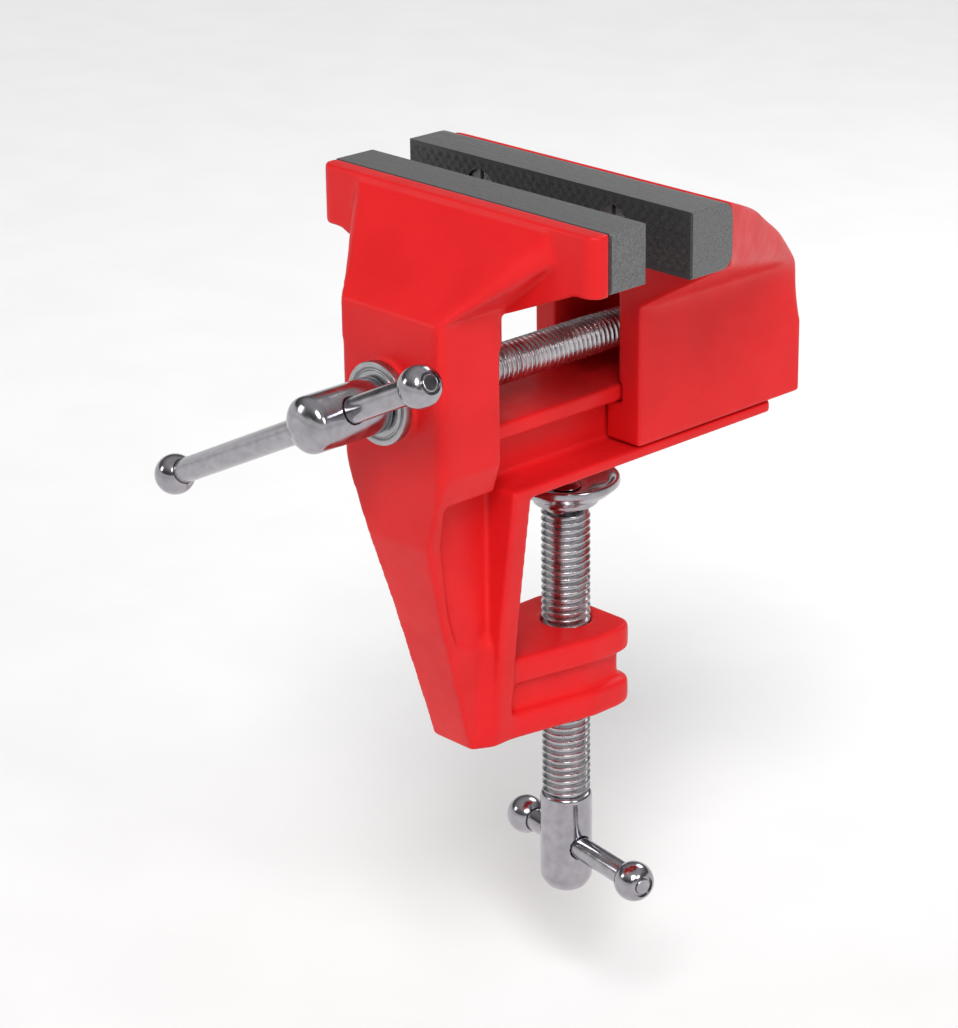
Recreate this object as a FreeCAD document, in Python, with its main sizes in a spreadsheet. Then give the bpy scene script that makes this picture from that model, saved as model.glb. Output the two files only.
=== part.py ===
"""Clamp-on bench vise with 75 mm jaws, built as separate parts in one assembly.

Frame: +X is the operator's right, +Y runs from the handle towards the sliding jaw,
+Z is up. The origin lies on the clamp-screw axis, in the underside of the beam,
which is the face that rests on the table top.
"""
import FreeCAD, Part
import Sketcher
import os
from math import cos, sin, pi

doc = FreeCAD.newDocument("bench_vise")
sheet = doc.addObject("Spreadsheet::Sheet", "dims")

DIMENSIONS = [
    # fixed casting
    ("body_half_width", 14.0, "half width of the screw housing"),
    ("body_front", 46.5, "housing front face, distance in front of the clamp axis"),
    ("body_back", 31.0, "housing back face, distance in front of the clamp axis"),
    ("body_top", 39.5, "height where the flared jaw starts"),
    ("screw_height", 22.5, "height of the main screw above the table face"),
    ("boss_radius", 7.4, "cast boss under the thrust washer"),
    ("boss_length", 1.6, "how far the boss stands out of the housing"),
    ("jaw_half_width", 37.5, "half the jaw width"),
    ("jaw_top", 58.0, "height of both jaws"),
    ("wing_back", 26.0, "back of the fixed wing, distance in front of the clamp axis"),
    ("wing_thickness", 4.2, "thickness of the fixed wing"),
    ("wing_bottom", 46.0, "underside of the wing at its ends"),
    ("wing_shoulder", 32.0, "where the wing underside turns level"),
    ("gusset_half_width", 28.5, "half width of the sloped gusset at the wing"),
    ("gusset_top", 52.0, "height where the gusset's side crease meets the wing"),
    ("gusset_crown", 57.4, "height where the gusset's slope meets the wing"),
    ("gusset_crown_half", 26.5, "half width of the slope at the wing"),
    ("gusset_lip", 0.3, "height of the gusset's front edge"),
    ("gusset_root", 8.0, "how far the gusset reaches down into the housing"),
    ("wing_corner", 3.0, "rounding of the wing corners"),
    ("housing_corner", 2.0, "rounding of the housing's upright edges"),
    # leg
    ("leg_inner", 23.0, "inner face of the leg, distance in front of the clamp axis"),
    ("leg_flange", 4.8, "thickness of the leg's inner flange"),
    ("leg_bottom", 53.5, "depth of the leg below the table face"),
    ("leg_knee_z", 9.0, "height where the leg starts to lean back"),
    ("leg_mid_z", 6.5, "depth of the first bend in the leg front"),
    ("leg_low_z", 22.5, "depth of the second bend in the leg front"),
    ("leg_mid_y", 45.4, "leg front at the first bend"),
    ("leg_low_y", 40.8, "leg front at the second bend"),
    ("leg_foot_y", 31.8, "leg front at the bottom"),
    ("leg_mid_half", 8.8, "half width of the leg front at the first bend"),
    ("leg_low_half", 7.1, "half width of the leg front at the second bend"),
    ("leg_foot_half", 5.5, "half width of the leg front at the bottom"),
    ("leg_web_half", 6.3, "half thickness of the leg web in the side recess"),
    ("recess_top", 3.0, "height of the top of the side recess"),
    ("recess_bottom", 31.0, "depth of the bottom of the side recess"),
    ("recess_front_top", 43.6, "front of the recess at its top"),
    ("recess_front_low", 38.6, "front of the recess low down"),
    # lower arm
    ("arm_top", 36.0, "depth of the arm's upper face"),
    ("arm_half_width", 12.0, "half width of the arm at its free end"),
    ("arm_end", 8.2, "free end of the arm behind the clamp axis"),
    ("arm_flare", 4.0, "where the arm reaches its full width, in front of the axis"),
    ("arm_corner", 4.0, "rounding of the arm's free corners"),
    ("arm_root_half", 7.8, "half width of the arm where it leaves the leg"),
    ("arm_bead", 5.7, "height of each bead along the arm"),
    ("arm_inset", 2.2, "depth of the groove between the beads"),
    ("flange_low_half", 10.3, "half width of the inner flange above the arm"),
    ("flange_low_z", 27.0, "depth at which the inner flange has that width"),
    # beam
    ("beam_rear", 46.8, "rear end of the beam behind the clamp axis"),
    ("beam_plate", 2.2, "thickness of the beam's bottom flange"),
    ("beam_web_half", 5.0, "half thickness of the beam web"),
    ("beam_flange_half", 9.0, "half width of the beam's upper flange"),
    ("beam_flange_low", 11.0, "underside of the upper flange"),
    ("beam_top", 14.5, "top of the beam"),
    ("beam_corner", 1.5, "corner cut at the rear end of the beam"),
    # jaw plates
    ("plate_height", 11.5, "height of the fixed jaw plate"),
    ("front_plate_thick", 9.5, "thickness of the fixed jaw plate"),
    ("rear_plate_height", 13.0, "height of the sliding jaw plate"),
    ("rear_plate_thick", 11.6, "thickness of the sliding jaw plate"),
    ("rear_plate_half", 38.5, "half width of the sliding jaw plate"),
    ("rear_plate_round", 3.2, "rounding along the back of the sliding plate"),
    ("opening", 10.9, "gap between the plates as drawn"),
    ("plate_screw_x", 18.0, "distance of the plate screws from the middle"),
    ("plate_screw_radius", 2.0, "plate screw shank radius"),
    ("plate_screw_grip", 3.0, "how far a plate screw enters the casting"),
    ("plate_screw_head", 3.9, "plate screw head radius"),
    ("plate_screw_cone", 1.9, "height of the countersunk head"),
    ("plate_screw_sink", 0.7, "how far the head lies below the gripping face"),
    ("slot_width", 1.0, "driver slot width"),
    ("slot_depth", 0.9, "driver slot depth"),
    # sliding jaw
    ("slide_half", 14.5, "half width of the sliding jaw's lower body"),
    ("slide_length", 48.0, "length of the sliding jaw along the beam"),
    ("slide_gap", 0.4, "gap between the sliding jaw and the beam"),
    ("slide_back_top", 31.0, "height of the sliding jaw's back edge"),
    ("slide_crease", 31.5, "height where the flare leaves the front of the jaw"),
    ("slide_wing_low", 45.0, "underside of the sliding wing at its ends"),
    ("slide_wing_half", 37.8, "half width of the sliding wing"),
    ("flare_narrowing", 0.48, "how fast the flare narrows towards the back, per mm"),
    ("flare_rise", 0.29, "how fast the flare's lower edge comes down, per mm"),
    ("flare_near", 4.5, "first section of the flare behind its plate"),
    ("flare_middle", 20.0, "second section of the flare behind its plate"),
    ("flare_far", 34.5, "third section of the flare behind its plate"),
    ("drop_front", 0.5, "how far the flare lies below the jaw top at its plate"),
    ("drop_near", 2.2, "the same at the first section"),
    ("drop_middle", 8.2, "the same at the second section"),
    ("drop_far", 16.5, "the same at the third section"),
    ("cavity_half", 8.7, "half width of the hollow in the sliding jaw"),
    ("cavity_top", 37.0, "top of the hollow in the sliding jaw"),
    ("cavity_depth", 16.0, "depth of the hollow in the sliding jaw"),
    # main screw
    ("main_radius", 4.0, "main screw thread radius, M8"),
    ("main_rear", 58.0, "rear end of the main screw"),
    ("main_head_radius", 5.5, "radius of the main screw head"),
    ("main_head_front", 69.0, "front tip of the main screw head"),
    ("main_dome", 2.2, "length of the rounded nose of the head"),
    ("main_hole_y", 59.3, "handle hole, distance in front of the clamp axis"),
    ("bore_clearance", 0.1, "radial running clearance"),
    ("washer_radius", 8.1, "thrust washer radius"),
    ("washer_thick", 1.9, "thrust washer thickness"),
    ("axial_gap", 0.1, "end float between the thrust faces"),
    ("collar_radius", 7.0, "retaining collar radius"),
    ("collar_length", 6.0, "retaining collar length"),
    ("pin_radius", 1.25, "collar pin radius"),
    ("pin_length", 13.4, "collar pin length"),
    # handles
    ("rod_radius", 2.5, "main handle rod radius"),
    ("rod_length", 81.0, "distance between the main knob centres"),
    ("rod_shift", 15.2, "how far the main handle is slid to one side"),
    ("rod_angle", 26.5, "tilt of the main handle"),
    ("knob_radius", 4.1, "handle knob radius"),
    ("knob_cap", 3.2, "distance from a knob's centre to its flat end"),
    ("neck_radius", 1.7, "reduced rod end inside a knob"),
    ("hole_clearance", 0.15, "radial clearance of a handle in its hole"),
    # clamp screw
    ("clamp_radius", 5.0, "clamp screw thread radius, M10"),
    ("clamp_head_radius", 5.4, "clamp screw head radius"),
    ("clamp_head_top", 75.0, "depth of the clamp head shoulder"),
    ("clamp_foot", 97.5, "depth of the clamp screw's lower end"),
    ("clamp_dome", 3.0, "rounding of the clamp screw's lower end"),
    ("clamp_hole_z", 86.5, "depth of the clamp handle hole"),
    ("clamp_rod_length", 37.0, "distance between the clamp knob centres"),
    ("clamp_rod_shift", 4.4, "how far the clamp handle is slid to one side"),
    ("clamp_rod_angle", -8.4, "direction of the clamp handle"),
    ("clamp_rod_radius", 2.4, "clamp handle rod radius"),
    ("pad_radius", 11.0, "clamp pad radius"),
    ("pad_top", 5.2, "depth of the pad rim below the table face"),
    ("pad_rim", 1.4, "thickness of the pad rim"),
    ("pad_dish", 2.4, "depth of the dish in the pad"),
    ("pad_thick", 1.8, "thickness of the dished plate"),
    ("pad_socket", 1.4, "depth of the pad's socket below the dished plate"),
    ("socket_wall", 1.2, "thickness of the socket's wall"),
    ("stud_clearance", 0.1, "radial play of the stud in the pad"),
    ("socket_radius", 6.6, "outer radius of the pad socket"),
    ("rivet_radius", 2.3, "radius of the swivel stud peened over in the dish"),
    ("rivet_head", 3.4, "radius of the peened head"),
    ("rivet_height", 0.9, "height of the peened head"),
]

VALUE = {}
for row, (alias, value, note) in enumerate(DIMENSIONS, start=1):
    cell = "B{}".format(row)
    sheet.set("A{}".format(row), note)
    sheet.set(cell, str(value))
    sheet.setAlias(cell, alias)
    VALUE[alias] = value
doc.recompute()


def bound(text):
    """Turn the bare dimension names in a formula into references to the sheet."""
    words = []
    token = ""
    for letter in text + " ":
        if letter.isalnum() or letter == "_":
            token += letter
            continue
        words.append("dims." + token if token in VALUE else token)
        token = ""
        words.append(letter)
    return "".join(words).strip()


def plane(body, role):
    """Return one of a body's own origin planes."""
    for feature in body.Origin.OriginFeatures:
        if feature.Role == role:
            return feature
    raise ValueError(role)


def new_body(name):
    """Make an empty part."""
    body = doc.addObject("PartDesign::Body", name)
    body.Label = name
    return body


def new_sketch(body, role, name, offset=None):
    """Put a sketch on an origin plane, moved along the plane's normal by a formula."""
    sketch = body.newObject("Sketcher::SketchObject", name)
    sketch.AttachmentSupport = (plane(body, role), [""])
    sketch.MapMode = "FlatFace"
    if offset is not None:
        sketch.setExpression("AttachmentOffset.Base.z", bound(offset))
    return sketch


def fix_point(sketch, geometry, position, horizontal, vertical):
    """Hold one sketch point at a place given by two formulas."""
    pairs = (("DistanceX", horizontal), ("DistanceY", vertical))
    for kind, formula in pairs:
        index = sketch.addConstraint(
            Sketcher.Constraint(kind, -1, 1, geometry, position, 1.0)
        )
        sketch.setExpression("Constraints[{}]".format(index), bound(formula))


def polygon(sketch, corners):
    """Draw a closed outline whose corners are pairs of formulas."""
    count = len(corners)
    start = sketch.GeometryCount
    spots = []
    for number in range(count):
        turn = 2.0 * pi * number / count
        spots.append(FreeCAD.Vector(20.0 * cos(turn), 20.0 * sin(turn), 0))
    for number in range(count):
        line = Part.LineSegment(spots[number], spots[(number + 1) % count])
        sketch.addGeometry(line, False)
    for number in range(count):
        following = (number + 1) % count
        sketch.addConstraint(
            Sketcher.Constraint("Coincident", start + number, 2, start + following, 1)
        )
    for number, (horizontal, vertical) in enumerate(corners):
        fix_point(sketch, start + number, 1, horizontal, vertical)


def circle(sketch, horizontal, vertical, radius):
    """Draw a circle with a centre and radius given by formulas."""
    centre = FreeCAD.Vector(0, 0, 0)
    normal = FreeCAD.Vector(0, 0, 1)
    index = sketch.addGeometry(Part.Circle(centre, normal, 3.0), False)
    fix_point(sketch, index, 3, horizontal, vertical)
    held = sketch.addConstraint(Sketcher.Constraint("Radius", index, 3.0))
    sketch.setExpression("Constraints[{}]".format(held), bound(radius))


def volume(body):
    """Volume of the body as it stands."""
    return body.Shape.Volume if not body.Shape.isNull() else 0.0


def pad(body, sketch, length, reverse=False, both_sides=False):
    """Extrude a sketch by a formula and add it to the body."""
    feature = body.newObject("PartDesign::Pad", sketch.Name + "_pad")
    feature.Profile = sketch
    feature.setExpression("Length", bound(length))
    feature.Reversed = reverse
    feature.Midplane = both_sides
    sketch.Visibility = False
    doc.recompute()
    return feature


def pocket(body, sketch, length=None, reverse=False, both_sides=False):
    """Cut a sketch out of the body, through everything when no length is given."""
    before = volume(body)
    feature = body.newObject("PartDesign::Pocket", sketch.Name + "_cut")
    feature.Profile = sketch
    if length is None:
        feature.Type = "ThroughAll"
    else:
        feature.setExpression("Length", bound(length))
    feature.Reversed = reverse
    feature.Midplane = both_sides
    sketch.Visibility = False
    doc.recompute()
    if volume(body) >= before - 0.01:
        feature.Reversed = not reverse
        doc.recompute()
    if volume(body) >= before - 0.01:
        raise ValueError("the cut {} removed nothing".format(sketch.Name))
    return feature


def revolve(body, sketch, axis):
    """Spin a sketch about one of its own axes and add it to the body."""
    feature = body.newObject("PartDesign::Revolution", sketch.Name + "_turned")
    feature.Profile = sketch
    feature.ReferenceAxis = (sketch, [axis])
    feature.Angle = 360.0
    sketch.Visibility = False
    doc.recompute()
    return feature


def loft(body, sketches, name):
    """Join a row of sections with straight-ruled faces."""
    feature = body.newObject("PartDesign::AdditiveLoft", name)
    feature.Profile = sketches[0]
    feature.Sections = sketches[1:]
    feature.Ruled = True
    feature.Closed = False
    for sketch in sketches:
        sketch.Visibility = False
    doc.recompute()
    return feature


def round_edges(body, base, wanted, radius, name):
    """Fillet the edges of a feature that pass a test."""
    names = []
    for number, edge in enumerate(base.Shape.Edges, start=1):
        if wanted(edge):
            names.append("Edge{}".format(number))
    if not names:
        raise ValueError("no edges found for " + name)
    feature = body.newObject("PartDesign::Fillet", name)
    feature.Base = (base, names)
    feature.setExpression("Radius", bound(radius))
    doc.recompute()
    if "Invalid" in feature.State or feature.Shape.isNull():
        raise ValueError("the rounding {} failed".format(name))
    return feature


def upright(edge):
    """Whether an edge runs straight up."""
    box = edge.BoundBox
    return box.XLength < 0.01 and box.YLength < 0.01 and box.ZLength > 0.5


def near(value, target):
    """Whether two lengths are the same to within a tenth."""
    return abs(value - target) < 0.1


def mirrored(points):
    """Add the left-hand half to the right-hand half of a symmetric outline."""
    left = [("-({})".format(x), y) for x, y in reversed(points)]
    return points + left


def fixed_casting():
    """Housing, flared jaw, leg, lower arm and beam in one casting."""
    body = new_body("fixed_jaw_casting")

    side = new_sketch(body, "YZ_Plane", "housing_side")
    polygon(side, [
        ("-body_front", "body_top"),
        ("-body_front", "leg_knee_z"),
        ("-leg_mid_y", "-leg_mid_z"),
        ("-leg_low_y", "-leg_low_z"),
        ("-leg_foot_y", "-leg_bottom"),
        ("-leg_inner", "-leg_bottom"),
        ("-leg_inner", "beam_plate"),
        ("-body_back", "beam_plate"),
        ("-body_back", "body_top"),
    ])
    housing = pad(body, side, "2 * body_half_width", both_sides=True)

    def front_upright(edge):
        return upright(edge) and near(edge.BoundBox.YMin, -VALUE["body_front"])

    round_edges(body, housing, front_upright, "housing_corner", "housing_rounding")

    beam = new_sketch(body, "XZ_Plane", "beam_section", "body_back + 1")
    polygon(beam, mirrored([
        ("body_half_width", "0"),
        ("body_half_width", "beam_plate"),
        ("beam_web_half", "beam_plate"),
        ("beam_web_half", "beam_flange_low"),
        ("beam_flange_half", "beam_flange_low"),
        ("beam_flange_half", "beam_top"),
    ]))
    pad(body, beam, "body_back + 1 + beam_rear", reverse=True)

    corner = new_sketch(body, "XY_Plane", "beam_corner_outline", "-1")
    polygon(corner, [
        ("body_half_width - beam_corner", "beam_rear"),
        ("body_half_width", "beam_rear - beam_corner"),
        ("body_half_width + 1", "beam_rear + 1"),
    ])
    polygon(corner, [
        ("-body_half_width + beam_corner", "beam_rear"),
        ("-body_half_width - 1", "beam_rear + 1"),
        ("-body_half_width", "beam_rear - beam_corner"),
    ])
    pocket(body, corner, "beam_top + 2", reverse=True)

    taper = new_sketch(body, "XZ_Plane", "leg_front_taper", "leg_inner + leg_flange")
    right = [
        ("body_half_width + 1", "leg_knee_z"),
        ("body_half_width", "leg_knee_z"),
        ("leg_mid_half", "-leg_mid_z"),
        ("leg_low_half", "-leg_low_z"),
        ("leg_foot_half", "-leg_bottom - 1"),
        ("body_half_width + 1", "-leg_bottom - 1"),
    ]
    polygon(taper, right)
    polygon(taper, [("-({})".format(x), z) for x, z in reversed(right)])
    pocket(body, taper, "body_front", reverse=True)

    flange = new_sketch(body, "XZ_Plane", "inner_flange_taper", "leg_inner + leg_flange")
    right = [
        ("body_half_width + 1", "0"),
        ("body_half_width", "0"),
        ("flange_low_half", "-flange_low_z"),
        ("arm_root_half", "-leg_bottom - 1"),
        ("body_half_width + 1", "-leg_bottom - 1"),
    ]
    polygon(flange, right)
    polygon(flange, [("-({})".format(x), z) for x, z in reversed(right)])
    pocket(body, flange, "leg_flange + 1")

    for side_name, offset in (("right", "leg_web_half"), ("left", "-leg_web_half")):
        recess = new_sketch(body, "YZ_Plane", "leg_recess_" + side_name, offset)
        polygon(recess, [
            ("-recess_front_top", "recess_top"),
            ("-recess_front_low", "-leg_low_z"),
            ("-recess_front_low + 2", "-recess_bottom + 2"),
            ("-leg_inner - leg_flange - 3", "-recess_bottom"),
            ("-leg_inner - leg_flange", "-recess_bottom + 2"),
            ("-leg_inner - leg_flange", "recess_top"),
        ])
        pocket(body, recess, "body_half_width", reverse=(side_name == "right"))

    blend = new_sketch(body, "XY_Plane", "leg_foot_blend", "-leg_bottom")
    polygon(blend, [
        ("-leg_foot_half", "-leg_foot_y"),
        ("leg_foot_half", "-leg_foot_y"),
        ("arm_root_half", "-leg_inner - leg_flange"),
        ("-arm_root_half", "-leg_inner - leg_flange"),
    ])
    pad(body, blend, "leg_bottom - recess_bottom")

    arm_levels = (
        ("arm_lower_bead", "-leg_bottom", "arm_bead", "0"),
        ("arm_waist", "-leg_bottom", "leg_bottom - arm_top", "arm_inset"),
        ("arm_upper_bead", "-arm_top - arm_bead", "arm_bead", "0"),
    )
    for name, level, height, inset in arm_levels:
        outline = new_sketch(body, "XY_Plane", name, level)
        polygon(outline, [
            ("arm_root_half - " + inset, "-leg_inner - 1"),
            ("arm_half_width - " + inset, "-arm_flare"),
            ("arm_half_width - " + inset, "arm_end - " + inset),
            ("-arm_half_width + " + inset, "arm_end - " + inset),
            ("-arm_half_width + " + inset, "-arm_flare"),
            ("-arm_root_half + " + inset, "-leg_inner - 1"),
        ])
        layer = pad(body, outline, height)
        far = VALUE["arm_end"] - (VALUE["arm_inset"] if inset != "0" else 0.0)

        def free_corner(edge):
            return upright(edge) and near(edge.BoundBox.YMax, far)

        round_edges(body, layer, free_corner, "arm_corner - " + inset, name + "_round")

    wing = new_sketch(body, "XZ_Plane", "wing_outline", "wing_back")
    polygon(wing, mirrored([
        ("body_half_width", "body_top - 1"),
        ("wing_shoulder", "wing_bottom"),
        ("jaw_half_width", "wing_bottom"),
        ("jaw_half_width", "jaw_top"),
    ]))
    wing_pad = pad(body, wing, "wing_thickness")

    front = -VALUE["wing_back"] - VALUE["wing_thickness"]

    def wing_corner(edge):
        box = edge.BoundBox
        outer = near(abs(edge.CenterOfMass.x), VALUE["jaw_half_width"])
        return upright(edge) and outer and near(box.YMin, front)

    round_edges(body, wing_pad, wing_corner, "wing_corner", "wing_rounding")

    low = new_sketch(body, "XZ_Plane", "gusset_front", "body_front - 0.02")
    polygon(low, mirrored([
        ("body_half_width - 0.5", "body_top - gusset_root"),
        ("body_half_width - 0.5", "body_top - gusset_lip"),
        ("body_half_width - 0.6", "body_top - gusset_lip / 2"),
        ("body_half_width - 1.2", "body_top"),
    ]))
    high = new_sketch(body, "XZ_Plane", "gusset_back", "wing_back + wing_thickness - 0.5")
    polygon(high, mirrored([
        ("body_half_width - 0.5", "body_top - gusset_root"),
        ("body_half_width - 0.5", "body_top"),
        ("gusset_half_width", "gusset_top"),
        ("gusset_crown_half", "gusset_crown"),
    ]))
    loft(body, [low, high], "gusset")

    boss = new_sketch(body, "XZ_Plane", "boss_outline", "body_front - 1")
    circle(boss, "0", "screw_height", "boss_radius")
    pad(body, boss, "boss_length + 1")

    bore = new_sketch(body, "XZ_Plane", "main_bore", "body_back - 2")
    circle(bore, "0", "screw_height", "main_radius + bore_clearance")
    pocket(body, bore, "body_front", reverse=False)

    clamp_bore = new_sketch(body, "XY_Plane", "clamp_bore", "-leg_bottom - 1")
    circle(clamp_bore, "0", "0", "clamp_radius + bore_clearance")
    pocket(body, clamp_bore, "leg_bottom", reverse=True)

    holes = new_sketch(body, "XZ_Plane", "wing_screw_holes", "wing_back")
    height = "jaw_top - plate_height / 2"
    circle(holes, "plate_screw_x", height, "plate_screw_radius")
    circle(holes, "-plate_screw_x", height, "plate_screw_radius")
    pocket(body, holes, "plate_screw_grip + 0.5", reverse=False)
    return body


def jaw_plate(name, front, half, thick, height):
    """A flat steel jaw plate with two countersunk holes in its gripping face."""
    body = new_body(name)
    outline = new_sketch(body, "XZ_Plane", name + "_outline", front)
    polygon(outline, [
        ("-" + half, "jaw_top - " + height),
        (half, "jaw_top - " + height),
        (half, "jaw_top"),
        ("-" + half, "jaw_top"),
    ])
    block = pad(body, outline, thick, reverse=True)
    return body, block


def plate_holes(body, name, height, grip, inward):
    """Countersunk holes through a plate; grip is the gripping face, inward its far side."""
    middle = "jaw_top - {} / 2".format(height)
    for number, x in enumerate(("plate_screw_x", "-plate_screw_x")):
        hole = new_sketch(body, "XZ_Plane", "{}_hole_{}".format(name, number), grip)
        circle(hole, x, middle, "plate_screw_radius + 0.05")
        pocket(body, hole, None, reverse=inward)
        sink = new_sketch(body, "XZ_Plane", "{}_sink_{}".format(name, number), grip)
        circle(sink, x, middle, "plate_screw_head + 0.05")
        pocket(body, sink, "plate_screw_sink + plate_screw_cone", reverse=inward)


def front_plate():
    """The plate on the fixed jaw; its gripping face looks along +Y."""
    name = "front_jaw_plate"
    body, _ = jaw_plate(
        name, "wing_back", "jaw_half_width", "front_plate_thick", "plate_height"
    )
    plate_holes(body, name, "plate_height", "wing_back - front_plate_thick", False)
    return body


REAR_FACE = "wing_back - front_plate_thick - opening"
SLIDE_FRONT = "(" + REAR_FACE + " - rear_plate_thick)"


def rear_plate():
    """The plate on the sliding jaw; its gripping face looks along -Y."""
    name = "rear_jaw_plate"
    body, block = jaw_plate(
        name, REAR_FACE, "rear_plate_half", "rear_plate_thick", "rear_plate_height"
    )
    back = VALUE["rear_plate_thick"] - (
        VALUE["wing_back"] - VALUE["front_plate_thick"] - VALUE["opening"]
    )

    def back_long(edge):
        box = edge.BoundBox
        return near(box.YMin, back) and near(box.YMax, back) and box.XLength > 10

    round_edges(body, block, back_long, "rear_plate_round", "rear_plate_rounding")
    plate_holes(body, name, "rear_plate_height", REAR_FACE, True)
    return body


def plate_screw(name, x, height, grip, direction, thick):
    """A slotted countersunk screw; direction is the way its shank points along Y."""
    body = new_body(name)
    profile = new_sketch(body, "XY_Plane", name + "_profile")
    sink = "plate_screw_sink"
    cone = "plate_screw_sink + plate_screw_cone"
    end = thick + " + plate_screw_grip"
    face = "-({})".format(grip)
    sign = "+" if direction > 0 else "-"
    rows = [
        ("0", sink),
        ("plate_screw_head", sink),
        ("plate_screw_radius", cone),
        ("plate_screw_radius", end),
        ("0", end),
    ]
    polygon(profile, [(r, "{} {} ({})".format(face, sign, y)) for r, y in rows])
    revolve(body, profile, "V_Axis")
    slot = new_sketch(body, "XY_Plane", name + "_slot")
    deep = "({}) + slot_depth".format(sink)
    shallow = "({}) - 0.5".format(sink)
    polygon(slot, [
        ("-slot_width / 2", "{} {} ({})".format(face, sign, shallow)),
        ("slot_width / 2", "{} {} ({})".format(face, sign, shallow)),
        ("slot_width / 2", "{} {} ({})".format(face, sign, deep)),
        ("-slot_width / 2", "{} {} ({})".format(face, sign, deep)),
    ])
    pocket(body, slot, "3 * plate_screw_head", both_sides=True)
    body.setExpression("Placement.Base.x", bound(x))
    body.setExpression("Placement.Base.z", bound("jaw_top - {} / 2".format(height)))
    return body


def sliding_jaw():
    """The moving casting: flared behind its plate, hooked under the beam flange."""
    body = new_body("sliding_jaw")
    drops = (
        ("0", "drop_front"),
        ("flare_near", "drop_near"),
        ("flare_middle", "drop_middle"),
        ("flare_far", "drop_far"),
    )
    stations = []
    for along, drop in drops:
        half = "slide_wing_half - flare_narrowing * " + along
        low = "slide_wing_low - flare_rise * " + along
        stations.append((along, half, low, "jaw_top - " + drop, "slide_crease"))
    stations.append((
        "slide_length", "slide_half + 0.1", "slide_back_top - 0.5", "slide_back_top",
        "slide_back_top - 0.7",
    ))
    sections = []
    for number, (along, half, low, top, crease) in enumerate(stations):
        name = "slide_section_{}".format(number)
        offset = "{} - ({})".format(SLIDE_FRONT, along)
        section = new_sketch(body, "XZ_Plane", name, offset)
        polygon(section, mirrored([
            ("slide_half", "beam_plate + slide_gap"),
            ("slide_half", crease),
            (half, low),
            (half, top),
        ]))
        sections.append(section)
    loft(body, sections, "slide_body")

    channel = new_sketch(body, "XZ_Plane", "slide_channel", SLIDE_FRONT + " + 1")
    polygon(channel, mirrored([
        ("beam_web_half + slide_gap", "0"),
        ("beam_web_half + slide_gap", "beam_flange_low - slide_gap"),
        ("beam_flange_half + slide_gap", "beam_flange_low - slide_gap"),
        ("beam_flange_half + slide_gap", "beam_top + slide_gap"),
    ]))
    pocket(body, channel, None, reverse=True)

    hollow = new_sketch(body, "XZ_Plane", "slide_hollow", SLIDE_FRONT + " + 1")
    polygon(hollow, mirrored([
        ("cavity_half", "beam_top - 1"),
        ("cavity_half", "cavity_top - 4"),
        ("cavity_half - 4", "cavity_top"),
    ]))
    pocket(body, hollow, "cavity_depth + 1", reverse=True)

    bore = new_sketch(body, "XZ_Plane", "slide_bore", SLIDE_FRONT)
    circle(bore, "0", "screw_height", "main_radius + bore_clearance")
    pocket(body, bore, None, reverse=True)

    holes = new_sketch(body, "XZ_Plane", "slide_screw_holes", SLIDE_FRONT)
    height = "jaw_top - rear_plate_height / 2"
    circle(holes, "plate_screw_x", height, "plate_screw_radius")
    circle(holes, "-plate_screw_x", height, "plate_screw_radius")
    pocket(body, holes, "plate_screw_grip + 0.5", reverse=True)
    return body


def turn_with_main_screw(body):
    """Lift a part to the main screw's axis and turn it as far as the screw is turned."""
    body.Placement = FreeCAD.Placement(
        FreeCAD.Vector(0, 0, 0),
        FreeCAD.Rotation(FreeCAD.Vector(0, -1, 0), VALUE["rod_angle"]),
    )
    body.setExpression("Placement.Base.z", bound("screw_height"))
    body.setExpression("Placement.Rotation.Angle", "dims.rod_angle * 1 deg")


def main_screw():
    """The main screw, turned from one bar, with its cross-drilled head."""
    body = new_body("main_screw")
    profile = new_sketch(body, "XY_Plane", "main_screw_profile")
    shoulder = "-(body_front + boss_length + washer_thick + axial_gap)"
    polygon(profile, [
        ("0", "-main_head_front"),
        ("main_head_radius - 2.6", "-main_head_front + 0.3"),
        ("main_head_radius - 0.8", "-main_head_front + main_dome * 0.55"),
        ("main_head_radius", "-main_head_front + main_dome"),
        ("main_head_radius", shoulder),
        ("main_radius", shoulder),
        ("main_radius", "main_rear - 1"),
        ("main_radius - 1", "main_rear"),
        ("0", "main_rear"),
    ])
    revolve(body, profile, "V_Axis")
    hole = new_sketch(body, "YZ_Plane", "main_handle_hole")
    circle(hole, "-main_hole_y", "0", "rod_radius + hole_clearance")
    pocket(body, hole, "3 * main_head_radius", both_sides=True)
    pin = new_sketch(body, "XY_Plane", "collar_pin_hole")
    circle(pin, "0", "-body_back + axial_gap + collar_length / 2", "pin_radius")
    pocket(body, pin, "3 * main_radius", both_sides=True)
    turn_with_main_screw(body)
    return body


def ring(name, inner, outer, start, length):
    """A plain ring about the Y axis; start is its face nearest the handle."""
    body = new_body(name)
    section = new_sketch(body, "XZ_Plane", name + "_section", start)
    circle(section, "0", "0", outer)
    circle(section, "0", "0", inner)
    pad(body, section, length, reverse=True)
    return body


def thrust_washer():
    """The plated washer between the screw head and the boss."""
    body = ring(
        "thrust_washer",
        "main_radius + bore_clearance",
        "washer_radius",
        "body_front + boss_length + washer_thick",
        "washer_thick",
    )
    body.setExpression("Placement.Base.z", bound("screw_height"))
    return body


def retaining_collar():
    """The collar that stops the screw being pulled out, pinned to the screw."""
    body = ring(
        "retaining_collar",
        "main_radius",
        "collar_radius",
        "body_back - axial_gap",
        "collar_length",
    )
    pin = new_sketch(body, "XY_Plane", "collar_cross_hole")
    circle(pin, "0", "-body_back + axial_gap + collar_length / 2", "pin_radius")
    pocket(body, pin, "3 * collar_radius", both_sides=True)
    turn_with_main_screw(body)
    return body


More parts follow.
